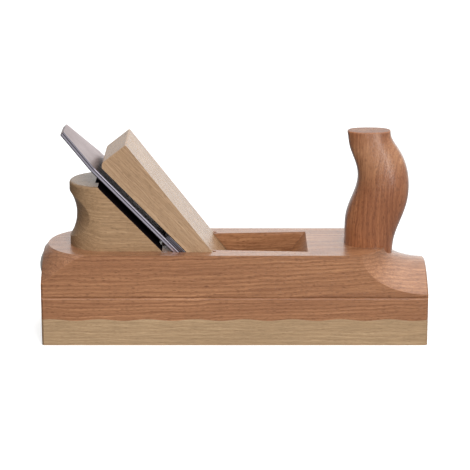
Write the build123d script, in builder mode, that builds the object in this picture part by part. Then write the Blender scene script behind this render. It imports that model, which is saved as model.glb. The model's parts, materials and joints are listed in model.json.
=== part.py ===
from build123d import *

import os
from math import cos, radians, sin, tan

# A wooden jack/smoothing plane with a double iron, all sizes in millimetres.
# Origin: centre of the underside of the sole. +X points to the toe, +Z up.

# ---- body ----
BODY_LENGTH = 240.0
BODY_WIDTH = 65.0
BODY_HEIGHT = 58.0
SOLE_THICKNESS = 16.5
WAVE_PITCH = 30.0          # the glue joint between sole and body rises and falls along the length
WAVE_HEIGHT = 0.55
WAVE_CREST_X = 6.0
ARRIS = 1.2                # flat planed on the upright corners of both ends

FINGER_GROOVE_Z = 30.7     # decorative V groove along both sides
FINGER_GROOVE_HEIGHT = 2.0
FINGER_GROOVE_DEPTH = 1.0

HEEL_ROUND_X = -83.7       # centre of the round end of the top face
HEEL_ROUND_RADIUS = 33.6
HEEL_FACET_SLOPE = 1.3     # fall of the heel facet per unit outwards
HEEL_FACET_FOOT = 30.0     # lower than the facet ever reaches

SCOOP_ARC_X = 55.9         # centre of the arc where the flat top ends and the toe's hollow begins
SCOOP_ARC_RADIUS = 39.6
SCOOP_CROWN_DROP = 10.7    # how far the hollow falls by the toe's end, in the middle and at the sides
SCOOP_SIDE_DROP = 25.0
TOE_RIM_CHAMFER = 1.0

# ---- bed, mouth and throat ----
PITCH = 46.0               # slope of the bed
BED_TOE_X = 17.3           # where the bed meets the underside of the sole
BED_GAP = 0.05
MOUTH_FRONT_X = 22.6
THROAT_FRONT_X = 45.4      # front edge of the throat at the top face
THROAT_FRONT_SLOPE = 51.3
THROAT_REAR_HALF = 19.2    # half widths of the throat at the top face
THROAT_FRONT_HALF = 23.4
THROAT_MOUTH_HALF = 24.4
WEDGE_SLOT_HALF = 24.5
RELIEF_HOLE_RADIUS = 1.4   # drilled relief at the top corner of each abutment
RELIEF_HOLE_Y = 22.4
RELIEF_HOLE_BACK = 0.4     # how far the holes reach behind the abutments' faces
RELIEF_HOLE_DEPTH = 9.0
HEAD_GROOVE_WIDTH = 20.0   # groove in the bed that clears the head of the cap iron screw
HEAD_GROOVE_DEPTH = 5.0
HEAD_GROOVE_START = 46.0
HEAD_GROOVE_LENGTH = 60.0

# ---- plane iron, cap iron and their screw, placed by distance along and off the bed ----
IRON_WIDTH = 48.0
IRON_THICKNESS = 3.0
IRON_TOP = 179.7
IRON_TAPER_START = 151.0
IRON_TOP_HALF = 11.5
IRON_TOP_RADIUS = 1.5
IRON_EDGE_CHAMFER = 0.35
EDGE_CLEARANCE = 0.4       # the cutting edge is drawn this far above the underside of the sole
BEVEL_ANGLE = 25.0
IRON_SLOT_WIDTH = 11.0
IRON_SLOT_START = 48.0
KEYHOLE_AT = 112.0
KEYHOLE_RADIUS = 8.75

CAP_GAP = 0.02
CAP_THICKNESS = 3.15
CAP_TOP = 90.0
CAP_SETBACK = 1.3          # from the cutting edge to the front edge of the cap iron
CAP_NOSE = 0.15            # thickness left at its front edge
CAP_HUMP_LENGTH = 13.0     # the front curls down to the iron over this length
CAP_HUMP_MIDDLE = (4.6, 0.85)
CAP_HOLLOW = (1.0, 30.0)   # the back is hollowed between these distances from the front edge
CAP_HOLLOW_DEPTH = 0.8
CAP_CORNER_RADIUS = 2.0
CAP_EDGE_CHAMFER = 0.6
SCREW_AT = 62.0
SCREW_HEAD_RADIUS = 8.0
SCREW_HEAD_THICKNESS = 3.9
SCREW_HEAD_GAP = 0.15
SCREW_HEAD_ROUNDING = 0.8
SCREW_SLOT_WIDTH = 1.8
SCREW_SLOT_DEPTH = 1.7
SCREW_END_CHAMFER = 0.8
SCREW_RADIUS = 4.0
SCREW_CLEARANCE = 0.06
SCREW_END = 10.6
BOSS_RADIUS = 6.0
BOSS_END = 11.2
BOSS_CHAMFER = 0.8

# ---- wedge ----
WEDGE_UNDERSIDE = 6.3
WEDGE_TAPER = 6.1
WEDGE_THIN = 11.1          # thickness line of the front face, carried down to the foot of the bed
WEDGE_TOP = 151.0
WEDGE_LEG_END = 14.0
WEDGE_LEG_TIP = 2.0        # thickness left at the legs' tips
WEDGE_LEG_TIP_LENGTH = 5.0
WEDGE_FORK_TOP = 46.0
WEDGE_FORK_SLANT = 6.0     # the fork's top edge leans this far either side of that
WEDGE_LEG_WIDTH = 9.0
WEDGE_SEAT_GAP = 0.12      # driving the iron 1 mm closes this against the abutments
BOSS_GROOVE_HALF = 7.0
BOSS_GROOVE_TOP = 88.0
BOSS_GROOVE_DEPTH = 6.0
WEDGE_END_CHAMFER = 2.4    # on the iron's side of the top end
WEDGE_EDGE_CHAMFER = 0.6

# ---- hand guard ----
GUARD_ROUND_X = -80.6
GUARD_HALF_WIDTH = 22.8
GUARD_TOP = 98.6
GUARD_EDGE_RADIUS = 1.6
GUARD_BEHIND_BED = 4.6
GUARD_GROOVE_DEPTH = 1.6
COVE_AXIS_X = -71.0
COVE_WAIST_RADIUS = 28.0
COVE_ARC_RADIUS = 27.0
COVE_Z = 78.0
GUARD_DOWELS_X = (-67.0, -89.0)
GUARD_DOWEL_RADIUS = 4.0
GUARD_DOWEL_BOTTOM = 40.0
GUARD_DOWEL_TOP = 71.0

# ---- horn: height, rear, front and half thickness of each section ----
HORN_SECTIONS = (
    (46.0, 68.9, 97.6, 13.9),
    (58.0, 68.8, 99.8, 14.3),
    (70.0, 69.1, 103.0, 14.6),
    (82.0, 71.3, 107.4, 14.6),
    (94.0, 75.8, 109.1, 14.0),
    (106.0, 76.3, 107.6, 12.4),
    (118.0, 72.1, 102.2, 10.3),
    (130.0, 69.7, 97.1, 8.6),
)
HORN_SQUARENESS = 2.5      # 2 would make the sections ellipses
HORN_SECTION_POINTS = 16
HORN_RIM_RADIUS = 1.0
HORN_DOWEL_X = 86.0
HORN_DOWEL_RADIUS = 7.0
HORN_DOWEL_BOTTOM = 30.0
HORN_DOWEL_TOP = 80.0
HORN_SCREW_Z = 44.0
HORN_SCREW_HEAD_X = 42.0
HORN_SCREW_TIP_X = 91.0
HORN_SCREW_RADIUS = 2.5
HORN_SCREW_HEAD_RADIUS = 4.6
HORN_SCREW_HEAD_HEIGHT = 3.2
HORN_SCREW_HEAD_BEVEL = 1.2
HORN_SCREW_POINT_LENGTH = 5.0
HORN_SCREW_POINT_RADIUS = 0.4
HORN_SCREW_SLOT = (1.2, 1.3)   # width and depth
HORN_SCREW_SLOT_TURN = 35.0
SCREW_HEAD_ROOM = 0.4      # around the head in its counterbore

# ---- strike button ----
BUTTON_Z = 43.3
BUTTON_RADIUS = 9.5
BUTTON_RISE = 3.0
BUTTON_SHANK_RADIUS = 6.0
BUTTON_SHANK_LENGTH = 24.0

GLUE_GAP = 0.05            # around every glued dowel
DOWEL_END_GAP = 1.0        # air left beyond the end of every dowel and shank
DOWEL_CHAMFER = 0.8

HALF_LENGTH = BODY_LENGTH / 2
HALF_WIDTH = BODY_WIDTH / 2
HALF_IRON = IRON_WIDTH / 2
PAST = 2.0                 # how far a cutter runs past the wood it cuts

COS_PITCH = cos(radians(PITCH))
SIN_PITCH = sin(radians(PITCH))
UP_THE_BED = (-COS_PITCH, 0, SIN_PITCH)
OFF_THE_BED = (SIN_PITCH, 0, COS_PITCH)
BED_FOOT = (BED_TOE_X, 0, 0)

# Side view of the bed: local x runs up the bed, local y away from it.
bed_side = Plane(origin=BED_FOOT, x_dir=UP_THE_BED, z_dir=(0, 1, 0))
# Face view of the bed: local x runs up the bed, local z away from it.
bed_face = Plane(origin=BED_FOOT, x_dir=UP_THE_BED, z_dir=OFF_THE_BED)
screw_plane = Plane(origin=bed_face.from_local_coords((SCREW_AT, 0, 0)), z_dir=OFF_THE_BED)


def wedge_front(along):
    """Distance off the bed of the wedge's front face, at a place along the bed."""
    return WEDGE_THIN + along * tan(radians(WEDGE_TAPER))


def throat_front(height):
    """X of the throat's front wall: steep above, upright below."""
    slope = tan(radians(THROAT_FRONT_SLOPE))
    return max(MOUTH_FRONT_X, THROAT_FRONT_X - (BODY_HEIGHT - height) / slope)


def abutment(height):
    """X of the abutments' rear faces at a height."""
    steepness = tan(radians(PITCH + WEDGE_TAPER))
    foot_x = BED_TOE_X + WEDGE_THIN * (SIN_PITCH + COS_PITCH / steepness)
    return foot_x - height / steepness


def rounded_square(part):
    """A sine or cosine bent so that the outline it draws is squarer than an ellipse."""
    return abs(part) ** (2 / HORN_SQUARENESS) * (1 if part > 0 else -1)


# ------------------------------------------------------------------ wood blank and its cutters

with BuildPart() as heel_waste:
    with BuildSketch(Plane.XY.offset(HEEL_FACET_FOOT)):
        with Locations((HEEL_ROUND_X - HALF_LENGTH / 2, 0)):
            Rectangle(HALF_LENGTH, BODY_WIDTH + 2 * PAST)
    extrude(amount=BODY_HEIGHT)
    with BuildSketch(Plane.XY.offset(HEEL_FACET_FOOT)):
        with Locations((HEEL_ROUND_X, 0)):
            Circle(HEEL_ROUND_RADIUS + (BODY_HEIGHT - HEEL_FACET_FOOT) / HEEL_FACET_SLOPE)
    with BuildSketch(Plane.XY.offset(BODY_HEIGHT)):
        with Locations((HEEL_ROUND_X, 0)):
            Circle(HEEL_ROUND_RADIUS)
    loft(mode=Mode.SUBTRACT)

with BuildPart() as toe_waste:
    # hollow swept across the toe: a quarter ellipse at every width, deeper towards the sides
    scoop_widths = 9
    widest = HALF_WIDTH + PAST
    for step in range(scoop_widths):
        y = widest * (2 * step / (scoop_widths - 1) - 1)
        drop = SCOOP_CROWN_DROP + (SCOOP_SIDE_DROP - SCOOP_CROWN_DROP) * (y / HALF_WIDTH) ** 2
        start = SCOOP_ARC_X + (SCOOP_ARC_RADIUS**2 - y**2) ** 0.5
        end = (HALF_LENGTH, BODY_HEIGHT - drop)
        with BuildSketch(Plane.XZ.offset(-y)):
            with BuildLine():
                EllipticalCenterArc((HALF_LENGTH, BODY_HEIGHT), HALF_LENGTH - start, drop, start_angle=180)
                Polyline(
                    end,
                    (HALF_LENGTH + PAST, end[1]),
                    (HALF_LENGTH + PAST, BODY_HEIGHT + PAST),
                    (start, BODY_HEIGHT + PAST),
                    (start, BODY_HEIGHT),
                )
            make_face()
    loft()

with BuildPart() as blank:
    with BuildSketch():
        Rectangle(BODY_LENGTH, BODY_WIDTH)
    extrude(amount=BODY_HEIGHT)
    add(heel_waste.part, mode=Mode.SUBTRACT)
    add(toe_waste.part, mode=Mode.SUBTRACT)
    toe_rim = blank.faces().sort_by(Axis.X)[-1].edges().sort_by(Axis.Z)[-1]
    chamfer(toe_rim, TOE_RIM_CHAMFER)
    upright_corners = blank.edges().filter_by(Axis.Z).filter_by(
        lambda edge: abs(abs(edge.center().X) - HALF_LENGTH) < 0.01
    )
    chamfer(upright_corners, ARRIS)

with BuildPart() as below_the_joint:
    with BuildSketch(Plane.XZ):
        wave_ends = HALF_LENGTH + WAVE_PITCH
        quarter = WAVE_PITCH / 4
        steps = round(2 * wave_ends / quarter)
        wave = []
        for step in range(steps + 1):
            x = step * quarter - wave_ends
            turn = radians(360 * (x - WAVE_CREST_X) / WAVE_PITCH)
            wave.append((x, SOLE_THICKNESS + WAVE_HEIGHT * cos(turn)))
        with BuildLine():
            Spline(*wave)
            Polyline(wave[-1], (wave_ends, -PAST), (-wave_ends, -PAST), wave[0])
        make_face()
    extrude(amount=BODY_WIDTH, both=True)

with BuildPart() as wedge_slot:
    with BuildSketch(bed_side):
        slot_top = BODY_HEIGHT / SIN_PITCH + 10    # past both faces of the wood
        slot_foot = -12.0
        seat = WEDGE_SEAT_GAP / cos(radians(WEDGE_TAPER))
        with BuildLine():
            Polyline(
                (slot_foot, -BED_GAP),
                (slot_top, -BED_GAP),
                (slot_top, wedge_front(slot_top) + seat),
                (slot_foot, wedge_front(slot_foot) + seat),
                close=True,
            )
        make_face()
    extrude(amount=WEDGE_SLOT_HALF, both=True)
    split(bisect_by=Plane.YZ.offset(MOUTH_FRONT_X), keep=Keep.BOTTOM)

with BuildPart() as throat:
    knee_z = BODY_HEIGHT - (THROAT_FRONT_X - MOUTH_FRONT_X) * tan(radians(THROAT_FRONT_SLOPE))
    behind_abutment = 3.0       # reaches into the slot for the wedge
    mouth_overlap = 2.0
    for height, rear_half, front_half in (
        (-PAST, THROAT_MOUTH_HALF, THROAT_MOUTH_HALF),
        (knee_z, (THROAT_REAR_HALF + THROAT_MOUTH_HALF) / 2, (THROAT_FRONT_HALF + THROAT_MOUTH_HALF) / 2),
        (BODY_HEIGHT, THROAT_REAR_HALF, THROAT_FRONT_HALF),
    ):
        rear_x = min(abutment(height) - behind_abutment, MOUTH_FRONT_X - mouth_overlap)
        with BuildSketch(Plane.XY.offset(height)):
            with BuildLine():
                Polyline(
                    (rear_x, -rear_half),
                    (throat_front(height), -front_half),
                    (throat_front(height), front_half),
                    (rear_x, rear_half),
                    close=True,
                )
            make_face()
    loft(ruled=True)
    extrude(throat.faces().sort_by(Axis.Z)[-1], amount=PAST)

with BuildPart() as head_groove:
    with BuildSketch(bed_face.offset(-HEAD_GROOVE_DEPTH)):
        with Locations((HEAD_GROOVE_START + HEAD_GROOVE_LENGTH / 2, 0)):
            SlotOverall(HEAD_GROOVE_LENGTH, HEAD_GROOVE_WIDTH)
    extrude(amount=HEAD_GROOVE_DEPTH)

# ------------------------------------------------------------------ wooden pieces of the stock

with BuildPart() as sole:
    add(blank.part)
    add(below_the_joint.part, mode=Mode.INTERSECT)
    add(wedge_slot.part, mode=Mode.SUBTRACT)
    add(throat.part, mode=Mode.SUBTRACT)

with BuildPart() as body_block:
    add(blank.part)
    add(below_the_joint.part, mode=Mode.SUBTRACT)
    add(wedge_slot.part, mode=Mode.SUBTRACT)
    add(throat.part, mode=Mode.SUBTRACT)
    add(head_groove.part, mode=Mode.SUBTRACT)
    # V grooves along both sides
    with BuildSketch(Plane.YZ.offset(-HALF_LENGTH - PAST)):
        for side in (-1, 1):
            with BuildLine():
                Polyline(
                    (side * (HALF_WIDTH - FINGER_GROOVE_DEPTH), FINGER_GROOVE_Z),
                    (side * (HALF_WIDTH + FINGER_GROOVE_DEPTH), FINGER_GROOVE_Z + FINGER_GROOVE_HEIGHT),
                    (side * (HALF_WIDTH + FINGER_GROOVE_DEPTH), FINGER_GROOVE_Z - FINGER_GROOVE_HEIGHT),
                    close=True,
                )
            make_face()
    extrude(amount=BODY_LENGTH + 2 * PAST, mode=Mode.SUBTRACT)
    # relief holes beside the wedge
    with BuildSketch(Plane.XY.offset(BODY_HEIGHT)):
        hole_x = abutment(BODY_HEIGHT) + RELIEF_HOLE_RADIUS - RELIEF_HOLE_BACK
        with Locations((hole_x, -RELIEF_HOLE_Y), (hole_x, RELIEF_HOLE_Y)):
            Circle(RELIEF_HOLE_RADIUS)
    extrude(amount=-RELIEF_HOLE_DEPTH, mode=Mode.SUBTRACT)
    # dowel holes under the hand guard and the horn
    with BuildSketch(Plane.XY.offset(BODY_HEIGHT)):
        with Locations(*[(x, 0) for x in GUARD_DOWELS_X]):
            Circle(GUARD_DOWEL_RADIUS + GLUE_GAP)
    extrude(amount=GUARD_DOWEL_BOTTOM - BODY_HEIGHT - DOWEL_END_GAP, mode=Mode.SUBTRACT)
    with BuildSketch(Plane.XY.offset(BODY_HEIGHT)):
        with Locations((HORN_DOWEL_X, 0)):
            Circle(HORN_DOWEL_RADIUS + GLUE_GAP)
    extrude(amount=HORN_DOWEL_BOTTOM - BODY_HEIGHT - DOWEL_END_GAP, mode=Mode.SUBTRACT)
    # stepped hole for the horn screw, from the throat's front wall
    with BuildSketch(Plane.YZ.offset(MOUTH_FRONT_X)):
        with Locations((0, HORN_SCREW_Z)):
            Circle(HORN_SCREW_HEAD_RADIUS + SCREW_HEAD_ROOM)
    extrude(amount=HORN_SCREW_HEAD_X - MOUTH_FRONT_X, mode=Mode.SUBTRACT)
    with BuildSketch(Plane.YZ.offset(HORN_SCREW_HEAD_X)):
        with Locations((0, HORN_SCREW_Z)):
            Circle(HORN_SCREW_RADIUS + GLUE_GAP)
    extrude(amount=HORN_SCREW_TIP_X + DOWEL_END_GAP - HORN_SCREW_HEAD_X, mode=Mode.SUBTRACT)
    # hole for the strike button
    with BuildSketch(Plane.YZ.offset(-HALF_LENGTH)):
        with Locations((0, BUTTON_Z)):
            Circle(BUTTON_SHANK_RADIUS + GLUE_GAP)
    extrude(amount=BUTTON_SHANK_LENGTH + DOWEL_END_GAP, mode=Mode.SUBTRACT)

with BuildPart() as strike_button:
    crown_radius = (BUTTON_RADIUS**2 + BUTTON_RISE**2) / (2 * BUTTON_RISE)
    crown_mid = BUTTON_RADIUS / 2
    crown_mid_x = -HALF_LENGTH - BUTTON_RISE + crown_radius - (crown_radius**2 - crown_mid**2) ** 0.5
    with BuildSketch(Plane.XZ):
        with BuildLine():
            ThreePointArc(
                (-HALF_LENGTH - BUTTON_RISE, BUTTON_Z),
                (crown_mid_x, BUTTON_Z + crown_mid),
                (-HALF_LENGTH, BUTTON_Z + BUTTON_RADIUS),
            )
            Polyline(
                (-HALF_LENGTH, BUTTON_Z + BUTTON_RADIUS),
                (-HALF_LENGTH, BUTTON_Z + BUTTON_SHANK_RADIUS),
                (-HALF_LENGTH + BUTTON_SHANK_LENGTH, BUTTON_Z + BUTTON_SHANK_RADIUS),
                (-HALF_LENGTH + BUTTON_SHANK_LENGTH, BUTTON_Z),
                (-HALF_LENGTH - BUTTON_RISE, BUTTON_Z),
            )
        make_face()
    revolve(axis=Axis((0, 0, BUTTON_Z), (1, 0, 0)))

# ------------------------------------------------------------------ horn

with BuildPart() as horn:
    for height, rear, front, half in HORN_SECTIONS:
        outline = []
        for step in range(HORN_SECTION_POINTS):
            turn = radians(360 * step / HORN_SECTION_POINTS)
            outline.append(
                (
                    (rear + front) / 2 + (front - rear) / 2 * rounded_square(cos(turn)),
                    half * rounded_square(sin(turn)),
                )
            )
        with BuildSketch(Plane.XY.offset(height)):
            with BuildLine():
                Spline(*outline, periodic=True)
            make_face()
    loft()
    fillet(horn.faces().sort_by(Axis.Z)[-1].edges(), HORN_RIM_RADIUS)
    add(blank.part, mode=Mode.SUBTRACT)
    with BuildSketch(Plane.XY.offset(HORN_DOWEL_BOTTOM)):
        with Locations((HORN_DOWEL_X, 0)):
            Circle(HORN_DOWEL_RADIUS + GLUE_GAP)
    extrude(amount=HORN_DOWEL_TOP + DOWEL_END_GAP - HORN_DOWEL_BOTTOM, mode=Mode.SUBTRACT)

with BuildPart() as horn_dowel:
    with BuildSketch(Plane.XY.offset(HORN_DOWEL_BOTTOM)):
        with Locations((HORN_DOWEL_X, 0)):
            Circle(HORN_DOWEL_RADIUS)
    extrude(amount=HORN_DOWEL_TOP - HORN_DOWEL_BOTTOM)
    chamfer(horn_dowel.edges().filter_by(GeomType.CIRCLE), DOWEL_CHAMFER)
    with BuildSketch(Plane.YZ.offset(HORN_DOWEL_X - 2 * HORN_DOWEL_RADIUS)):
        with Locations((0, HORN_SCREW_Z)):
            Circle(HORN_SCREW_RADIUS + GLUE_GAP)
    extrude(amount=4 * HORN_DOWEL_RADIUS, mode=Mode.SUBTRACT)

with BuildPart() as horn_screw:
    head_face_x = HORN_SCREW_HEAD_X - HORN_SCREW_HEAD_HEIGHT
    head_bevel_x = HORN_SCREW_HEAD_X - HORN_SCREW_HEAD_HEIGHT + HORN_SCREW_HEAD_BEVEL
    with BuildSketch(Plane.XZ):
        with BuildLine():
            Polyline(
                (head_face_x, HORN_SCREW_Z),
                (head_face_x, HORN_SCREW_Z + HORN_SCREW_HEAD_RADIUS - HORN_SCREW_HEAD_BEVEL),
                (head_bevel_x, HORN_SCREW_Z + HORN_SCREW_HEAD_RADIUS),
                (HORN_SCREW_HEAD_X, HORN_SCREW_Z + HORN_SCREW_HEAD_RADIUS),
                (HORN_SCREW_HEAD_X, HORN_SCREW_Z + HORN_SCREW_RADIUS),
                (HORN_SCREW_TIP_X - HORN_SCREW_POINT_LENGTH, HORN_SCREW_Z + HORN_SCREW_RADIUS),
                (HORN_SCREW_TIP_X, HORN_SCREW_Z + HORN_SCREW_POINT_RADIUS),
                (HORN_SCREW_TIP_X, HORN_SCREW_Z),
                close=True,
            )
        make_face()
    revolve(axis=Axis((0, 0, HORN_SCREW_Z), (1, 0, 0)))
    with BuildSketch(Plane.YZ.offset(head_face_x)):
        with Locations((0, HORN_SCREW_Z)):
            Rectangle(HORN_SCREW_SLOT[0], 3 * HORN_SCREW_HEAD_RADIUS, rotation=HORN_SCREW_SLOT_TURN)
    extrude(amount=HORN_SCREW_SLOT[1], mode=Mode.SUBTRACT)

# ------------------------------------------------------------------ hand guard

with BuildPart() as finger_cove:
    with BuildSketch(Plane.XZ):
        with Locations((COVE_AXIS_X - COVE_WAIST_RADIUS - COVE_ARC_RADIUS, COVE_Z)):
            Circle(COVE_ARC_RADIUS)
    revolve(axis=Axis((COVE_AXIS_X, 0, 0), (0, 0, 1)))
    split(bisect_by=Plane.YZ.offset(COVE_AXIS_X), keep=Keep.BOTTOM)

with BuildPart() as hand_guard:
    guard_front = -30.0         # in front of where the slope cuts it off
    with BuildSketch(Plane.XY.offset(BODY_HEIGHT)):
        with Locations((GUARD_ROUND_X, 0)):
            Circle(GUARD_HALF_WIDTH)
        with Locations(((GUARD_ROUND_X + guard_front) / 2, 0)):
            Rectangle(guard_front - GUARD_ROUND_X, 2 * GUARD_HALF_WIDTH)
    extrude(amount=GUARD_TOP - BODY_HEIGHT)
    top_rim = hand_guard.faces().sort_by(Axis.Z)[-1].edges().sort_by(Axis.X)[:-1]
    fillet(top_rim, GUARD_EDGE_RADIUS)
    add(finger_cove.part, mode=Mode.SUBTRACT)
    slope_length = 170.0        # longer and deeper than the guard
    slope_depth = 100.0
    with BuildSketch(bed_side):
        with Locations((slope_length / 2, slope_depth / 2 - GUARD_BEHIND_BED)):
            Rectangle(slope_length, slope_depth)
    extrude(amount=BODY_WIDTH, both=True, mode=Mode.SUBTRACT)
    with BuildSketch(bed_face.offset(-GUARD_BEHIND_BED - GUARD_GROOVE_DEPTH)):
        with Locations((slope_length / 2, 0)):
            Rectangle(slope_length, HEAD_GROOVE_WIDTH)
    extrude(amount=2 * GUARD_GROOVE_DEPTH, mode=Mode.SUBTRACT)
    with BuildSketch(Plane.XY.offset(BODY_HEIGHT)):
        with Locations(*[(x, 0) for x in GUARD_DOWELS_X]):
            Circle(GUARD_DOWEL_RADIUS + GLUE_GAP)
    extrude(amount=GUARD_DOWEL_TOP + DOWEL_END_GAP - BODY_HEIGHT, mode=Mode.SUBTRACT)

with BuildPart() as guard_dowels:
    with BuildSketch(Plane.XY.offset(GUARD_DOWEL_BOTTOM)):
        with Locations(*[(x, 0) for x in GUARD_DOWELS_X]):
            Circle(GUARD_DOWEL_RADIUS)
    extrude(amount=GUARD_DOWEL_TOP - GUARD_DOWEL_BOTTOM)
    chamfer(guard_dowels.edges().filter_by(GeomType.CIRCLE), DOWEL_CHAMFER)

# ------------------------------------------------------------------ double iron

edge_along = (EDGE_CLEARANCE - IRON_THICKNESS * COS_PITCH) / SIN_PITCH

with BuildPart() as plane_iron:
    with BuildSketch(bed_side):
        with BuildLine():
            Polyline(
                (edge_along, IRON_THICKNESS),
                (edge_along + IRON_THICKNESS / tan(radians(BEVEL_ANGLE)), 0),
                (IRON_TOP, 0),
                (IRON_TOP, IRON_THICKNESS),
                close=True,
            )
        make_face()
    extrude(amount=HALF_IRON, both=True)
    # tapered shoulders at the top end
    with BuildSketch(bed_face):
        for side in (-1, 1):
            with BuildLine():
                Polyline(
                    (IRON_TAPER_START, side * HALF_IRON),
                    (IRON_TOP, side * IRON_TOP_HALF),
                    (IRON_TOP + PAST, side * IRON_TOP_HALF),
                    (IRON_TOP + PAST, side * (HALF_IRON + PAST)),
                    (IRON_TAPER_START, side * (HALF_IRON + PAST)),
                    close=True,
                )
            make_face()
    extrude(amount=IRON_THICKNESS, mode=Mode.SUBTRACT)
    top_corners = plane_iron.edges().filter_by(Axis(BED_FOOT, OFF_THE_BED)).group_by(Axis.Z)[-1]
    fillet(top_corners, IRON_TOP_RADIUS)
    # slot for the cap iron screw, with a round end that lets its head through
    with BuildSketch(bed_face):
        slot_length = KEYHOLE_AT - IRON_SLOT_START
        with Locations((IRON_SLOT_START + slot_length / 2, 0)):
            SlotOverall(slot_length + IRON_SLOT_WIDTH, IRON_SLOT_WIDTH)
        with Locations((KEYHOLE_AT, 0)):
            Circle(KEYHOLE_RADIUS)
    extrude(amount=IRON_THICKNESS, mode=Mode.SUBTRACT)
    long_edges = plane_iron.edges().filter_by(Axis(BED_FOOT, UP_THE_BED)).filter_by(
        lambda edge: abs(abs(edge.center().Y) - HALF_IRON) < 0.01
    )
    chamfer(long_edges, IRON_EDGE_CHAMFER)

with BuildPart() as cap_iron:
    cap_bottom = IRON_THICKNESS + CAP_GAP
    cap_top = cap_bottom + CAP_THICKNESS
    cap_front = edge_along + CAP_SETBACK
    cap_hump = (cap_front + CAP_HUMP_MIDDLE[0], cap_top - CAP_HUMP_MIDDLE[1])
    hump_end = (cap_front + CAP_HUMP_LENGTH, cap_top)
    hollow_start = (cap_front + CAP_HOLLOW[0], cap_bottom)
    hollow_end = (cap_front + CAP_HOLLOW[1], cap_bottom)
    hollow_middle = (cap_front + sum(CAP_HOLLOW) / 2, cap_bottom + CAP_HOLLOW_DEPTH)
    with BuildSketch(bed_side):
        with BuildLine():
            Line((cap_front, cap_bottom), (cap_front, cap_bottom + CAP_NOSE))
            ThreePointArc((cap_front, cap_bottom + CAP_NOSE), cap_hump, hump_end)
            Polyline(hump_end, (CAP_TOP, cap_top), (CAP_TOP, cap_bottom), hollow_end)
            ThreePointArc(hollow_end, hollow_middle, hollow_start)
            Line(hollow_start, (cap_front, cap_bottom))
        make_face()
    extrude(amount=HALF_IRON, both=True)
    cap_corners = cap_iron.edges().filter_by(Axis(BED_FOOT, OFF_THE_BED)).group_by(Axis.Z)[-1]
    fillet(cap_corners, CAP_CORNER_RADIUS)
    cap_long_edges = cap_iron.edges().filter_by(Axis(BED_FOOT, UP_THE_BED)).filter_by(
        lambda edge: abs(abs(edge.center().Y) - HALF_IRON) < 0.01 and edge.length > CAP_TOP / 2
    )
    chamfer(cap_long_edges, CAP_EDGE_CHAMFER)
    with BuildSketch(screw_plane):
        Circle(BOSS_RADIUS)
    extrude(amount=BOSS_END, mode=Mode.SUBTRACT)

with BuildPart() as cap_iron_boss:
    with BuildSketch(screw_plane.offset(cap_bottom)):
        Circle(BOSS_RADIUS)
        Circle(SCREW_RADIUS + SCREW_CLEARANCE, mode=Mode.SUBTRACT)
    extrude(amount=BOSS_END - cap_bottom)
    top_circles = cap_iron_boss.edges().filter_by(GeomType.CIRCLE).group_by(Axis.Z)[-1]
    chamfer(top_circles.sort_by(SortBy.RADIUS)[-1], BOSS_CHAMFER)

with BuildPart() as cap_iron_screw:
    head_plane = screw_plane.offset(-SCREW_HEAD_GAP - SCREW_HEAD_THICKNESS)
    screw_axis = Axis(BED_FOOT, OFF_THE_BED)
    with BuildSketch(head_plane):
        Circle(SCREW_HEAD_RADIUS)
    extrude(amount=SCREW_HEAD_THICKNESS)
    fillet(cap_iron_screw.edges().filter_by(GeomType.CIRCLE).sort_by(screw_axis)[0], SCREW_HEAD_ROUNDING)
    with BuildSketch(screw_plane.offset(-SCREW_HEAD_GAP)):
        Circle(SCREW_RADIUS)
    extrude(amount=SCREW_END + SCREW_HEAD_GAP)
    chamfer(cap_iron_screw.edges().filter_by(GeomType.CIRCLE).sort_by(screw_axis)[-1], SCREW_END_CHAMFER)
    with BuildSketch(head_plane):
        Rectangle(SCREW_SLOT_WIDTH, 3 * SCREW_HEAD_RADIUS)
    extrude(amount=SCREW_SLOT_DEPTH, mode=Mode.SUBTRACT)

# ------------------------------------------------------------------ wedge

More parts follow.
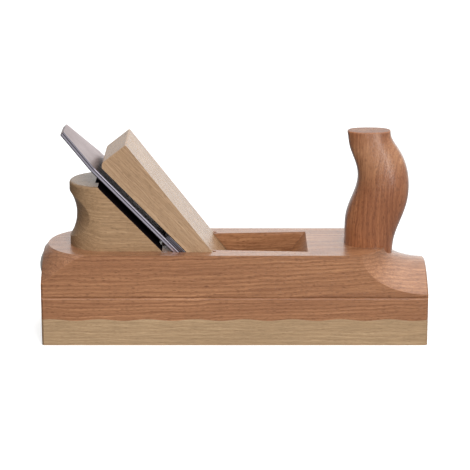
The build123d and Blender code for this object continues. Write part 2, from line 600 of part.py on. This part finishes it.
with BuildPart() as wedge:
    top_front = WEDGE_TOP - (wedge_front(WEDGE_TOP) - WEDGE_UNDERSIDE) * tan(radians(WEDGE_TAPER))
    top_slant = tan(radians(WEDGE_TAPER)) * WEDGE_END_CHAMFER
    leg_shoulder = WEDGE_LEG_END + WEDGE_LEG_TIP_LENGTH
    with BuildSketch(bed_side):
        with BuildLine():
            Polyline(
                (WEDGE_LEG_END, WEDGE_UNDERSIDE),
                (WEDGE_TOP - WEDGE_END_CHAMFER, WEDGE_UNDERSIDE),
                (WEDGE_TOP - top_slant, WEDGE_UNDERSIDE + WEDGE_END_CHAMFER),
                (top_front, wedge_front(top_front)),
                (leg_shoulder, wedge_front(leg_shoulder)),
                (WEDGE_LEG_END, WEDGE_UNDERSIDE + WEDGE_LEG_TIP),
                close=True,
            )
        make_face()
    extrude(amount=HALF_IRON, both=True)
    # arrises of the top end and of the long front corners
    top_edges = wedge.faces().sort_by(Axis(BED_FOOT, UP_THE_BED))[-1].edges()
    front_edges = wedge.faces().sort_by(Axis.X)[-1].edges().filter_by(
        lambda edge: abs(abs(edge.center().Y) - HALF_IRON) < 0.01
    )
    chamfer(top_edges + front_edges, WEDGE_EDGE_CHAMFER)
    # fork between the legs, cut square to the bed with a slanted top
    above_the_wedge = 30.0
    with BuildSketch(bed_side):
        with BuildLine():
            Polyline(
                (WEDGE_LEG_END - PAST, 0),
                (WEDGE_FORK_TOP - WEDGE_FORK_SLANT, 0),
                (WEDGE_FORK_TOP + WEDGE_FORK_SLANT, above_the_wedge),
                (WEDGE_LEG_END - PAST, above_the_wedge),
                close=True,
            )
        make_face()
    extrude(amount=HALF_IRON - WEDGE_LEG_WIDTH, both=True, mode=Mode.SUBTRACT)
    # groove over the boss of the cap iron
    with BuildSketch(bed_face):
        groove_foot = WEDGE_FORK_TOP - 2 * WEDGE_FORK_SLANT
        with Locations(((groove_foot + BOSS_GROOVE_TOP) / 2, 0)):
            SlotOverall(BOSS_GROOVE_TOP - groove_foot, 2 * BOSS_GROOVE_HALF)
    extrude(amount=WEDGE_UNDERSIDE + BOSS_GROOVE_DEPTH, mode=Mode.SUBTRACT)

# ------------------------------------------------------------------ export

os.makedirs("parts", exist_ok=True)

sole.part.label = "sole"
body_block.part.label = "body_block"
strike_button.part.label = "strike_button"
horn.part.label = "horn"
horn_dowel.part.label = "horn_dowel"
horn_screw.part.label = "horn_screw"
hand_guard.part.label = "hand_guard"
guard_dowels.part.label = "guard_dowels"
plane_iron.part.label = "plane_iron"
cap_iron.part.label = "cap_iron"
cap_iron_boss.part.label = "cap_iron_boss"
cap_iron_screw.part.label = "cap_iron_screw"
wedge.part.label = "wedge"

export_step(sole.part, "parts/sole.step")
export_step(body_block.part, "parts/body_block.step")
export_step(strike_button.part, "parts/strike_button.step")
export_step(horn.part, "parts/horn.step")
export_step(horn_dowel.part, "parts/horn_dowel.step")
export_step(horn_screw.part, "parts/horn_screw.step")
export_step(hand_guard.part, "parts/hand_guard.step")
export_step(guard_dowels.part, "parts/guard_dowels.step")
export_step(plane_iron.part, "parts/plane_iron.step")
export_step(cap_iron.part, "parts/cap_iron.step")
export_step(cap_iron_boss.part, "parts/cap_iron_boss.step")
export_step(cap_iron_screw.part, "parts/cap_iron_screw.step")
export_step(wedge.part, "parts/wedge.step")
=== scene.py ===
import json
from math import atan2, cos, pi, radians, sin

import bpy
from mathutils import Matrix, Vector

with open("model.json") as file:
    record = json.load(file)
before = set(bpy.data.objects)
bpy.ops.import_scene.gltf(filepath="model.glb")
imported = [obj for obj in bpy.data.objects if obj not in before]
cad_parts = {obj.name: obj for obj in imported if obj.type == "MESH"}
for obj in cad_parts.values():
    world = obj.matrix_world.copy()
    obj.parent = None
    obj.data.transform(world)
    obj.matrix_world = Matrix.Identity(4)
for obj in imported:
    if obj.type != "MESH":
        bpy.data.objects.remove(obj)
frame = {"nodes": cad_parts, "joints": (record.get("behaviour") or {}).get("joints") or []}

MM = 0.001
nodes = frame["nodes"]
joints = {joint["name"]: joint for joint in frame["joints"]}
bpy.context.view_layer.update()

# ---------------------------------------------------------------- node trees

EDGE_SAMPLES = 4
BUMP_DISTANCE = 0.3 * MM


class Shader:
    """A material whose node tree is built by short calls. Lengths are in millimetres."""

    def __init__(self, name):
        self.material = bpy.data.materials.new(name)
        self.material.use_nodes = True
        self.tree = self.material.node_tree
        self.tree.nodes.clear()

    def node(self, kind, inputs=(), **settings):
        made = self.tree.nodes.new(kind)
        for key, value in settings.items():
            setattr(made, key, value)
        for key, value in dict(inputs).items():
            if isinstance(value, bpy.types.NodeSocket):
                self.tree.links.new(value, made.inputs[key])
            else:
                made.inputs[key].default_value = value
        return made

    def math(self, operation, a, b=0.0, clamp=False):
        return self.node("ShaderNodeMath", {0: a, 1: b}, operation=operation, use_clamp=clamp).outputs[0]

    def times(self, a, b, clamp=False):
        return self.math("MULTIPLY", a, b, clamp)

    def vector(self, operation, a, b):
        return self.node("ShaderNodeVectorMath", {0: a, 1: b}, operation=operation).outputs[0]

    def dot(self, a, b):
        made = self.node("ShaderNodeVectorMath", {0: a, 1: b}, operation="DOT_PRODUCT")
        return made.outputs["Value"]

    def length(self, a):
        return self.node("ShaderNodeVectorMath", {0: a}, operation="LENGTH").outputs["Value"]

    def combine(self, x, y, z):
        return self.node("ShaderNodeCombineXYZ", {0: x, 1: y, 2: z}).outputs[0]

    def split(self, vector):
        return self.node("ShaderNodeSeparateXYZ", {0: vector}).outputs

    def noise(self, vector, scale, detail=2.0, rough=0.5):
        inputs = {"Vector": vector, "Scale": scale, "Detail": detail, "Roughness": rough}
        return self.node("ShaderNodeTexNoise", inputs).outputs

    def pattern(self, place, along, across, detail, rough, scale=1.0):
        """Noise that is drawn out along x when along is smaller than across."""
        stretched = self.vector("MULTIPLY", place, (along, across, across))
        return self.noise(stretched, scale, detail, rough)[0]

    def ramp(self, value, stops):
        made = self.node("ShaderNodeValToRGB", {0: value})
        elements = made.color_ramp.elements
        while len(elements) < len(stops):
            elements.new(0.5)
        for element, (place, shade) in zip(elements, stops):
            element.position = place
            element.color = (shade, shade, shade, 1)
        return made.outputs[0]

    def mix(self, factor, a, b, blend="MIX"):
        inputs = {0: factor, 6: a, 7: b}
        return self.node("ShaderNodeMix", inputs, data_type="RGBA", blend_type=blend).outputs[2]

    def tint(self, colour, by):
        return self.mix(1.0, colour, by, "MULTIPLY")

    def place(self, turn=(0, 0, 0)):
        """Position on the piece in millimetres, turned so that x runs along the grain."""
        position = self.node("ShaderNodeTexCoord").outputs["Object"]
        scaled = self.vector("MULTIPLY", position, (1 / MM, 1 / MM, 1 / MM))
        return self.node("ShaderNodeMapping", {"Vector": scaled, "Rotation": turn}).outputs[0]

    def smooth_normal(self):
        return self.node("ShaderNodeTexCoord").outputs["Normal"]

    def edge_mask(self, radius, gain):
        """Near 1 along outside and inside edges, 0 on open faces."""
        rounded = self.node("ShaderNodeBevel", {"Radius": radius * MM}, samples=EDGE_SAMPLES).outputs[0]
        plain = self.node("ShaderNodeNewGeometry").outputs["Normal"]
        unlike = self.math("SUBTRACT", 1.0, self.dot(rounded, plain))
        return self.times(unlike, gain, clamp=True)

    def finish(self, colour, roughness, height, bump, **constant):
        bump_inputs = {"Strength": bump, "Distance": BUMP_DISTANCE, "Height": height}
        bumped = self.node("ShaderNodeBump", bump_inputs).outputs[0]
        inputs = {"Base Color": colour, "Roughness": roughness, "Normal": bumped, "Coat Normal": bumped}
        inputs.update({key.replace("_", " "): value for key, value in constant.items()})
        surface = self.node("ShaderNodeBsdfPrincipled", inputs)
        self.node("ShaderNodeOutputMaterial", {"Surface": surface.outputs[0]})
        return self.material


def rgb(red, green, blue):
    return (red, green, blue, 1.0)


# ---------------------------------------------------------------- wood: grain and marks

# how far noise is drawn out along the grain, its scale, and how far it bends the grain in millimetres
SLOW_BEND = (0.12, 0.035, 16)
QUICK_BEND = (0.3, 0.2, 2.8)

# fineness along the grain, fineness across it, detail and roughness of each pattern of noise
BLOTCHES = (0.007, 0.035, 3.0, 0.55)
STREAKS = (0.02, 0.8, 4.0, 0.65)
FIBRES = (0.16, 3.2, 3.0, 0.65)
PORES = (0.7, 5.5, 1.0, 0.5)

RING_PROFILE = [(0.0, 0.3), (0.35, 0.0), (0.75, 0.55), (0.93, 1.0), (1.0, 0.3)]
RING_CHANGE = 0.9
RING_GAIN = 1.8

RAY_LENGTH = 3.6
RAY_WIDTH = 0.42
RAY_DEPTH = 0.9
RAY_PROFILE = [(0.0, 1.0), (0.22, 0.9), (0.46, 0.0), (1.0, 0.0)]

LINES_ALONG = 0.012
LINES_OUTWARD = 1.1
LINES_AROUND = 0.35
DARK_LINES = [(0.36, 1.0), (0.47, 0.0)]
PALE_LINES = [(0.53, 0.0), (0.64, 1.0)]

STREAK_EDGES = [(0.38, 0.0), (0.68, 1.0)]
PORE_EDGES = [(0.0, 0.0), (0.58, 0.0), (0.7, 1.0), (1.0, 1.0)]
PORE_SHADE = 0.22
FIBRE_SHADES = [(0.34, 0.84), (0.66, 1.12)]
PALE_LINE_TINT = rgb(1.3, 1.34, 1.4)


def bend(shader, place, drawn_out, scale, amount):
    """Shifts the growth rings sideways by a slow noise that runs mostly along the grain."""
    stretched = shader.vector("MULTIPLY", place, (drawn_out, 1, 1))
    wander = shader.noise(stretched, scale)[1]
    centred = shader.vector("SUBTRACT", wander, (0.5, 0.5, 0.5))
    return shader.vector("MULTIPLY", centred, (0, amount, amount))


class Grain:
    """Where a point lies in the tree: along the grain, outward from the pith and around it."""

    def __init__(self, shader, turn, shift, pith):
        self.place = shader.vector("ADD", shader.place(turn), shift)
        bent = shader.vector("ADD", self.place, bend(shader, self.place, *SLOW_BEND))
        bent = shader.vector("ADD", bent, bend(shader, self.place, *QUICK_BEND))
        self.along, y, z = shader.split(bent)
        y = shader.math("SUBTRACT", y, pith[0])
        z = shader.math("SUBTRACT", z, pith[1])
        self.outward = shader.math("SQRT", shader.math("ADD", shader.times(y, y), shader.times(z, z)))
        pith_distance = (pith[0] ** 2 + pith[1] ** 2) ** 0.5
        self.around = shader.times(shader.math("ARCTAN2", z, y), pith_distance)


def growth_rings(shader, grain, ring):
    """Dark late wood once in every ring, stronger in some rings than in others."""
    count = shader.math("DIVIDE", grain.outward, ring)
    profile = shader.ramp(shader.math("FRACT", count), RING_PROFILE)
    strength = shader.noise(shader.combine(0.0, 0.0, count), RING_CHANGE, 1.0)[0]
    return shader.times(profile, shader.times(strength, RING_GAIN))


def ray_flecks(shader, grain):
    """Short dashes along the grain, each with its own strength."""
    cell_at = shader.combine(shader.math("DIVIDE", grain.along, RAY_LENGTH),
                             shader.math("DIVIDE", grain.around, RAY_WIDTH),
                             shader.math("DIVIDE", grain.outward, RAY_DEPTH))
    cells = shader.node("ShaderNodeTexVoronoi", {"Vector": cell_at, "Scale": 1.0, "Randomness": 1.0})
    dashes = shader.ramp(cells.outputs["Distance"], RAY_PROFILE)
    return shader.times(dashes, shader.split(cells.outputs["Color"])[0])


def grain_lines(shader, grain):
    """Long thin lines along the grain, the dark ones and the pale ones."""
    line_at = shader.combine(shader.times(grain.along, LINES_ALONG),
                             shader.times(grain.outward, LINES_OUTWARD),
                             shader.times(grain.around, LINES_AROUND))
    lines = shader.noise(line_at, 1.0, 3.0, 0.7)[0]
    return shader.ramp(lines, DARK_LINES), shader.ramp(lines, PALE_LINES)


# ---------------------------------------------------------------- wood: age and use, painted highlights and painted shade

END_TINT = rgb(0.74, 0.68, 0.62)
END_COAT_LOSS = 0.65
KNOT_RADII = (2.4, 3.0, 0.8)
KNOT_FADE = [(0.0, 0.8), (1.0, 0.0)]
# painted highlight on the horn's upper part: noise scale, patch edges and brightening tint
PAINTED_HIGHLIGHT_SCALE = 0.06
PAINTED_HIGHLIGHT_PATCHES = [(0.4, 0.15), (0.62, 0.9)]
PAINTED_HIGHLIGHT_TINT = rgb(1.5, 1.95, 2.3)
# painted shade for faces in the dark gap against the iron: its colour and how squarely a face must look
# that way
PAINTED_GAP_SHADE = rgb(0.010, 0.007, 0.009)
PAINTED_GAP_SHADE_EDGE = [(0.97, 0.0), (0.995, 1.0)]
WEAR_RADIUS = 0.8
WEAR_GAIN = 3.0
WEAR_SCALE = 0.35
WEAR_BREAKS = [(0.35, 0.1), (0.65, 0.7)]
WEAR_TINT = rgb(1.2, 1.2, 1.18)
ROUGHNESS_SCALE = 0.06
ROUGHNESS_SPREAD = 0.16


def end_grain(shader, turn):
    """1 where a face looks along the grain, 0 where it looks across it."""
    inputs = {"Vector": shader.smooth_normal(), "Rotation": turn}
    turned = shader.node("ShaderNodeMapping", inputs).outputs[0]
    return shader.math("ABSOLUTE", shader.split(turned)[0])


def add_knot(shader, colour, knot, fleck):
    off_centre = shader.vector("DIVIDE", shader.vector("SUBTRACT", shader.place(), knot), KNOT_RADII)
    return shader.mix(shader.ramp(shader.length(off_centre), KNOT_FADE), colour, fleck)


def add_painted_highlight(shader, colour, place, start, palest):
    """Painted highlight: pale patches that stand in for a glossy streak of light, growing from start to
    palest along the grain.
    """
    along = shader.math("SUBTRACT", shader.split(place)[0], start)
    along = shader.math("DIVIDE", along, palest - start, clamp=True)
    patches = shader.ramp(shader.noise(place, PAINTED_HIGHLIGHT_SCALE)[0], PAINTED_HIGHLIGHT_PATCHES)
    return shader.mix(shader.times(along, patches), colour, shader.tint(colour, PAINTED_HIGHLIGHT_TINT))


def add_painted_rim_highlight(shader, colour, endways, pale, rim_highlight):
    """Painted highlight: paints the rounded edge of an end pale, as light catching the rim."""
    rounded = shader.ramp(endways, [(0.7, 0.0), (0.8, rim_highlight), (0.92, rim_highlight), (0.97, 0.0)])
    return shader.mix(rounded, colour, pale)


def painted_gap_shade_mask(shader, painted_shade_facing):
    """Painted shade mask: 1 on faces that look in the direction painted_shade_facing, the faces in the
    dark gap against the iron.
    """
    flat = shader.node("ShaderNodeNewGeometry").outputs["True Normal"]
    return shader.ramp(shader.dot(flat, painted_shade_facing), PAINTED_GAP_SHADE_EDGE)


def add_wear(shader, colour, place):
    """Paler, broken lines where edges are worn."""
    breaks = shader.ramp(shader.noise(place, WEAR_SCALE, 3.0)[0], WEAR_BREAKS)
    worn = shader.times(shader.edge_mask(WEAR_RADIUS, WEAR_GAIN), breaks)
    return shader.mix(worn, colour, shader.tint(colour, WEAR_TINT))


def wood_roughness(shader, place, pores, roughness):
    uneven = shader.times(shader.noise(place, ROUGHNESS_SCALE, 3.0)[0], ROUGHNESS_SPREAD)
    rough = shader.math("ADD", uneven, roughness - ROUGHNESS_SPREAD / 2)
    return shader.math("ADD", rough, shader.times(pores, 0.1))


def wood_height(shader, fibres, pores, rays, rings):
    """Fibres and rings stand up, pores and rays are sunk."""
    height = shader.math("SUBTRACT", shader.times(fibres, 0.6), shader.times(pores, 0.5))
    height = shader.math("SUBTRACT", height, shader.times(rays, 0.35))
    return shader.math("ADD", height, shader.times(rings, 0.25))


# ---------------------------------------------------------------- wood


def wood(name, pale, deep, fleck, pith, turn=(0, 0, 0), shift=(0, 0, 0), ring=2.8, ring_depth=0.8,
         fleck_depth=0.5, line_depth=0.6, blotch=0.5, streak=0.6, end_shade=1.0, roughness=0.4, bump=0.25,
         painted_shade_facing=None, knot=None, painted_highlight=None, rim_highlight=0.0, coat=0.0, **constant):
    """Planed hardwood with its grain along x, once turned: growth rings, ray flecks, pores, fibre streaks,
    slow colour change and darker end grain. pith is the y and z of the rings' centre in millimetres, and
    ring is how far apart the rings are.
    painted_shade_facing is the direction of a face that lies against the iron; that face gets painted
    shade, near black and without varnish, for the dark gap there.
    knot is the place of a small dark knot.
    painted_highlight is where, along the grain, pale patches of painted highlight start, and where they
    are palest.
    rim_highlight is how far the rounded edge of an end is painted pale as a highlight. coat is the weight
    of the varnish."""
    shader = Shader(name)
    grain = Grain(shader, turn, shift, pith)
    rings = growth_rings(shader, grain, ring)
    rays = ray_flecks(shader, grain)
    dark_lines, pale_lines = grain_lines(shader, grain)
    streaks = shader.ramp(shader.pattern(grain.place, *STREAKS), STREAK_EDGES)
    pores = shader.ramp(shader.pattern(grain.place, *PORES), PORE_EDGES)
    fibres = shader.pattern(grain.place, *FIBRES)
    blotches = shader.ramp(shader.pattern(grain.place, *BLOTCHES), [(0.3, 0.0), (0.7, blotch)])

    colour = shader.mix(blotches, pale, deep)
    colour = shader.mix(shader.times(streaks, streak), colour, deep)
    colour = shader.mix(shader.times(rings, ring_depth, clamp=True), colour, deep)
    colour = shader.mix(shader.times(dark_lines, line_depth), colour, deep)
    colour = shader.mix(shader.times(pale_lines, line_depth), colour, shader.tint(colour, PALE_LINE_TINT))
    colour = shader.mix(shader.times(rays, fleck_depth, clamp=True), colour, fleck)
    colour = shader.mix(shader.times(pores, PORE_SHADE), colour, fleck)
    colour = shader.tint(colour, shader.ramp(fibres, FIBRE_SHADES))

    endways = end_grain(shader, turn)
    end_mask = shader.ramp(endways, [(0.55, 0.0), (0.98, end_shade)])
    colour = shader.mix(end_mask, colour, shader.tint(colour, END_TINT))
    if knot:
        colour = add_knot(shader, colour, knot, fleck)
    # painted highlight: pale patches on the upper part, standing in for a glossy streak of light
    if painted_highlight:
        colour = add_painted_highlight(shader, colour, grain.place, *painted_highlight)
    # painted highlight: a pale ring on the rounded rim of an end
    if rim_highlight:
        colour = add_painted_rim_highlight(shader, colour, endways, pale, rim_highlight)
    if coat:
        kept_at_ends = [(0.6, 1.0), (0.95, 1.0 - END_COAT_LOSS * end_shade)]
        constant["Coat_Weight"] = shader.times(shader.ramp(endways, kept_at_ends), coat)
    # painted shade: faces in the dark gap against the iron are painted near black and lose the varnish
    # gloss
    if painted_shade_facing:
        gap_shaded = painted_gap_shade_mask(shader, painted_shade_facing)
        colour = shader.mix(gap_shaded, colour, PAINTED_GAP_SHADE)
        gap_unshaded = shader.math("SUBTRACT", 1.0, gap_shaded)
        constant["Coat_Weight"] = shader.times(constant["Coat_Weight"], gap_unshaded)
    colour = add_wear(shader, colour, grain.place)

    rough = wood_roughness(shader, grain.place, pores, roughness)
    height = wood_height(shader, fibres, pores, rays, rings)
    return shader.finish(colour, rough, height, bump, **constant)


# ---------------------------------------------------------------- metal

# fineness along x, fineness across it, detail and roughness of the smudges, and their scale
SMUDGES = (0.6, 1.0, 4.0, 0.6, 0.09)
SMUDGE_EDGES = [(0.35, 0.0), (0.75, 0.5)]
GRINDING_ALONG = 0.05
GRINDING_SHADES = [(0.3, 0.82), (0.7, 1.08)]
SPECK_SCALE = 1.7
SPECK_EDGES = [(0.0, 0.0), (0.66, 0.0), (0.76, 1.0), (1.0, 1.0)]
SPECK_SHADE = 0.35
BRIGHT_EDGE = rgb(0.70, 0.69, 0.72)
SIDEWAYS = [(0.55, 0.0), (0.75, 1.0)]
SIDE_TINT = rgb(0.92, 0.86, 1.0)
SIDE_GRINDING = [(0.3, 0.75), (0.7, 1.1)]


def add_layers(shader, colour, place, lines, levels, shades):
    """Shades the sides of a laminated blade from its back to its face."""
    sideways = shader.ramp(shader.math("ABSOLUTE", shader.split(shader.smooth_normal())[1]), SIDEWAYS)
    from_back = shader.math("SUBTRACT", shader.split(place)[2], levels[0])
    through = shader.math("DIVIDE", from_back, levels[1] - levels[0])
    side = shader.tint(shader.ramp(through, shades), SIDE_TINT)
    side = shader.tint(side, shader.ramp(lines, SIDE_GRINDING))
    return shader.mix(sideways, colour, side)


def steel(name, base, dark, turn=(0, 0, 0), roughness=0.3, line=8.0, bump=0.12, layers=None, **constant):
    """Ground metal: fine grinding lines along x, smudges, a few dark specks, brighter worn edges.
    layers holds where a blade's back and face are, and the shades of its sides between them."""
    shader = Shader(name)
    place = shader.place(turn)
    lines = shader.pattern(place, GRINDING_ALONG, line, 3.0, 0.6)
    smudges = shader.pattern(place, *SMUDGES)
    specks = shader.ramp(shader.noise(place, SPECK_SCALE)[0], SPECK_EDGES)
    colour = shader.mix(shader.ramp(smudges, SMUDGE_EDGES), base, dark)
    colour = shader.mix(shader.times(specks, SPECK_SHADE), colour, dark)
    colour = shader.tint(colour, shader.ramp(lines, GRINDING_SHADES))
    edges = shader.edge_mask(0.35, 4.0)
    colour = shader.mix(shader.times(edges, 0.4), colour, BRIGHT_EDGE)
    if layers:
        colour = add_layers(shader, colour, place, lines, *layers)
    rough = shader.math("ADD", shader.times(smudges, 0.2), roughness - 0.1)
    height = shader.math("SUBTRACT", lines, shader.times(specks, 0.4))
    return shader.finish(colour, rough, height, bump, Metallic=1.0, **constant)


# ---------------------------------------------------------------- directions from the frame

up_bed = Vector(joints["iron_slide"]["axis"])
off_bed = Vector(joints["cap_screw_turn"]["axis"])
pitch = atan2(up_bed.z, -up_bed.x)
grain_up_bed = (0, pi - pitch, 0)
grain_up = (0, pi / 2, 0)


def back_and_face(name):
    """Where a blade's back and face lie along the z of grain_up_bed, in millimetres."""
    levels = [-off_bed.dot(vertex.co) / MM for vertex in nodes[name].data.vertices]
    return max(levels), min(levels)


# ---------------------------------------------------------------- materials

IRON_SIDE = [(0.0, 0.01), (0.15, 0.03), (0.22, 0.95), (0.55, 0.8), (0.6, 0.04), (0.7, 0.05), (0.77, 1.0),
             (0.95, 0.9), (1.0, 0.1)]
CAP_SIDE = [(0.0, 0.03), (0.15, 0.06), (0.25, 0.5), (0.36, 0.06), (0.55, 0.38), (0.66, 0.05), (0.82, 0.5),
            (1.0, 0.25)]
varnish = {"coat": 0.95, "Coat_Roughness": 0.14, "Specular_IOR_Level": 0.1}

materials = {
    "body_block": wood(
        "body_beech", pale=rgb(0.40, 0.195, 0.092), deep=rgb(0.20, 0.080, 0.036),
        fleck=rgb(0.09, 0.030, 0.013), pith=(-70, -114), turn=(0, radians(1.5), 0), ring=2.7,
        knot=(-17.5, -32.5, 38.3), **varnish),
    "sole": wood(
        "sole_hornbeam", pale=rgb(0.39, 0.26, 0.145), deep=rgb(0.29, 0.185, 0.10),
        fleck=rgb(0.20, 0.115, 0.06), pith=(-60, 120), shift=(31, 7, 0), ring=2.4, ring_depth=0.5,
        fleck_depth=0.35, blotch=0.6, streak=0.5, **varnish),
    # the horn gets painted highlights: pale patches on its upper part and a pale ring on the rim of its
    # top
    "horn": wood(
        "horn_beech", pale=rgb(0.34, 0.135, 0.056), deep=rgb(0.165, 0.055, 0.023),
        fleck=rgb(0.07, 0.02, 0.009), pith=(60, 45), turn=grain_up, shift=(5, 3, 11), ring=3.2, blotch=1.0,
        roughness=0.34, bump=0.2, painted_highlight=(92, 118), rim_highlight=0.8, coat=0.85, Coat_Roughness=0.2,
        Specular_IOR_Level=0.1),
    "horn_dowel": wood(
        "dowel_beech", pale=rgb(0.50, 0.32, 0.19), deep=rgb(0.40, 0.23, 0.12), fleck=rgb(0.2, 0.1, 0.05),
        pith=(20, 30), turn=grain_up, ring=2.0),
    # the guard's face toward the iron gets painted shade, near black
    "hand_guard": wood(
        "guard_beech", pale=rgb(0.36, 0.228, 0.124), deep=rgb(0.25, 0.15, 0.078),
        fleck=rgb(0.12, 0.068, 0.036), pith=(25, -50), shift=(11, 2, 5), ring=2.6, ring_depth=0.6,
        fleck_depth=0.45, painted_shade_facing=tuple(off_bed), coat=1.0, Coat_Roughness=0.25, Specular_IOR_Level=0.0),
    "strike_button": wood(
        "button_hornbeam", pale=rgb(0.50, 0.46, 0.43), deep=rgb(0.40, 0.35, 0.31),
        fleck=rgb(0.25, 0.19, 0.15), pith=(9, 30), ring=1.6, ring_depth=0.4, fleck_depth=0.2,
        end_shade=0.3),
    # the wedge's face toward the iron gets painted shade, near black
    "wedge": wood(
        "wedge_beech", pale=rgb(0.39, 0.255, 0.150), deep=rgb(0.27, 0.165, 0.092),
        fleck=rgb(0.17, 0.095, 0.052), pith=(18, 70), turn=grain_up_bed, ring=2.7, ring_depth=0.5,
        fleck_depth=0.45, end_shade=0.25, painted_shade_facing=tuple(-off_bed), coat=1.0, Coat_Roughness=0.22,
        Specular_IOR_Level=0.0),
    "plane_iron": steel(
        "iron_steel", base=rgb(0.38, 0.30, 0.30), dark=rgb(0.25, 0.195, 0.195), turn=grain_up_bed,
        roughness=0.34, layers=(back_and_face("plane_iron"), IRON_SIDE), Anisotropic=0.3),
    "cap_iron": steel(
        "cap_steel", base=rgb(0.42, 0.40, 0.43), dark=rgb(0.22, 0.20, 0.22), turn=grain_up_bed,
        roughness=0.3, layers=(back_and_face("cap_iron"), CAP_SIDE), Anisotropic=0.3),
    "cap_iron_screw": steel(
        "screw_steel", base=rgb(0.36, 0.36, 0.38), dark=rgb(0.16, 0.15, 0.16), roughness=0.35),
    "horn_screw": steel(
        "wood_screw_steel", base=rgb(0.40, 0.39, 0.38), dark=rgb(0.18, 0.16, 0.15), roughness=0.35),
    "cap_iron_boss": steel(
        "boss_brass", base=rgb(0.62, 0.42, 0.14), dark=rgb(0.32, 0.18, 0.05), roughness=0.3),
}
materials["guard_dowels"] = materials["horn_dowel"]

for name, node in nodes.items():
    node.data.materials.clear()
    node.data.materials.append(materials[name])

# ---------------------------------------------------------------- softened edges on the planed pieces

EDGE_BREAKS = {"body_block": 0.35, "sole": 0.25, "wedge": 0.4}
WELD_DISTANCE = 0.001 * MM
SHARP_ANGLE = radians(35)


def soften(name, width):
    """Joins the faces at their shared corners and breaks the sharp edges by width in millimetres."""
    weld = nodes[name].modifiers.new("weld", "WELD")
    weld.merge_threshold = WELD_DISTANCE
    bevel = nodes[name].modifiers.new("broken_edges", "BEVEL")
    bevel.width = width * MM
    bevel.segments = 2
    bevel.limit_method = "ANGLE"
    bevel.angle_limit = SHARP_ANGLE
    bevel.harden_normals = True


for name, width in EDGE_BREAKS.items():
    soften(name, width)

# ---------------------------------------------------------------- camera

AIM = Vector((0.0002, 0, 0.0623))
ELEVATION = radians(15.4)
DISTANCE = 1.2370
LENS = 150.3
SENSOR_WIDTH = 36


def look_from(place, target):
    return (target - place).to_track_quat("-Z", "Y").to_euler()


camera_data = bpy.data.cameras.new("camera")
camera_data.lens = LENS
camera_data.sensor_width = SENSOR_WIDTH
camera = bpy.data.objects.new("camera", camera_data)
camera.location = AIM + DISTANCE * Vector((0, -cos(ELEVATION), sin(ELEVATION)))
camera.rotation_euler = look_from(camera.location, AIM)
bpy.context.scene.collection.objects.link(camera)
bpy.context.scene.camera = camera

# ---------------------------------------------------------------- lights

# where light changes along one part of the direction, from and to, and the light at each end
LEFT_TO_RIGHT = (-0.75, 0.5, 0.22, 0.75)
FRONT_TO_BACK = (0.72, 0.95, 1.0, 2.1)
BELOW_TO_LEVEL = (-0.3, 0.05, 0.6, 1.0)
LEVEL_TO_OVERHEAD = (0.45, 1.0, 1.0, 4.2)


def softbox(name, place, size, power, for_gloss):
    """A soft light that shows only in gloss, or only in plain shading."""
    light_data = bpy.data.lights.new(name, "AREA")
    light_data.shape = "RECTANGLE"
    light_data.size, light_data.size_y = size
    light_data.energy = power
    light = bpy.data.objects.new(name, light_data)
    light.location = place
    light.visible_glossy = for_gloss
    light.visible_diffuse = not for_gloss
    light.rotation_euler = look_from(Vector(place), AIM)
    bpy.context.scene.collection.objects.link(light)


softbox("key", place=(0.2, -1.1, 0.5), size=(0.6, 0.6), power=12, for_gloss=False)
softbox("streak", place=(0.45, -1.08, 0.42), size=(0.3, 0.6), power=2.6, for_gloss=True)

# a white tent, dimmer on the left and below, brighter behind and overhead
world = bpy.data.worlds.new("studio")
world.use_nodes = True
tent = world.node_tree
direction = tent.nodes.new("ShaderNodeSeparateXYZ")
tent.links.new(tent.nodes.new("ShaderNodeTexCoord").outputs["Generated"], direction.inputs[0])


def tent_light(socket, change):
    """Light that goes from one value to another as one part of the direction changes."""
    mapped = tent.nodes.new("ShaderNodeMapRange")
    tent.links.new(socket, mapped.inputs[0])
    for number, value in enumerate(change, start=1):
        mapped.inputs[number].default_value = value
    return mapped.outputs[0]


def product(a, b):
    made = tent.nodes.new("ShaderNodeMath")
    made.operation = "MULTIPLY"
    tent.links.new(a, made.inputs[0])
    tent.links.new(b, made.inputs[1])
    return made.outputs[0]


across, away, up = direction.outputs
level_light = product(tent_light(across, LEFT_TO_RIGHT), tent_light(away, FRONT_TO_BACK))
height_light = product(tent_light(up, BELOW_TO_LEVEL), tent_light(up, LEVEL_TO_OVERHEAD))
tent.links.new(product(level_light, height_light), tent.nodes["Background"].inputs["Strength"])
tent.nodes["Background"].inputs["Color"].default_value = rgb(1, 1, 1)
bpy.context.scene.world = world
bpy.context.scene.view_settings.view_transform = "Standard"

# ---------------------------------------------------------------- floor

FLOOR_HALF = 4.0
FLOOR_CORNERS = ((-1, -1), (1, -1), (1, 1), (-1, 1))
FLOOR_GREY = rgb(0.7, 0.7, 0.7)
FLOOR_GLOW = 0.42

floor_mesh = bpy.data.meshes.new("floor")
floor_mesh.from_pydata([(x * FLOOR_HALF, y * FLOOR_HALF, 0) for x, y in FLOOR_CORNERS], [], [(0, 1, 2, 3)])
floor = bpy.data.objects.new("floor", floor_mesh)
bpy.context.scene.collection.objects.link(floor)
paper = Shader("paper")
paper_grain = paper.noise(paper.place(), 0.4, 3.0)[0]
floor_mesh.materials.append(paper.finish(FLOOR_GREY, roughness=0.85, height=paper_grain, bump=0.02,
                                         Emission_Color=rgb(1, 1, 1), Emission_Strength=FLOOR_GLOW))
# the floor throws no light and no reflection onto the plane
floor.visible_diffuse = False
floor.visible_glossy = False
